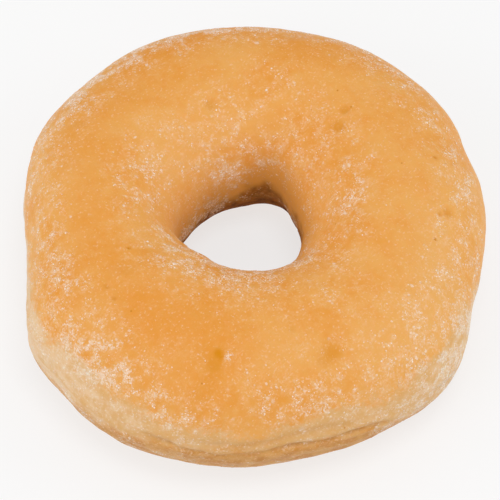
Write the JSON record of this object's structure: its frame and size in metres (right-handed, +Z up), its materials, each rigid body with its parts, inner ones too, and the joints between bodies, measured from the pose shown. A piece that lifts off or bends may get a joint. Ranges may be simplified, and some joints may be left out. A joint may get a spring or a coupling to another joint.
{
  "type": "ring doughnut",
  "caption": "Thick, uneven ring of fried yeast dough with an off-round hole, a golden crust, a paler belt along its side and a light coat of sugar",
  "frame": {"origin": "middle of the bounding box in X and Y, on the flat patch of the underside that the doughnut rests on", "axes": "+Z is up through the hole, -Y is the side nearest the camera, +X is to the camera's right"},
  "size_m": [0.0956, 0.1018, 0.034],
  "materials": {
    "fried_crust": "satin"
  },
  "bodies": {
    "root": {"doughnut_ring": "fried_crust"}
  },
  "joints": []
}
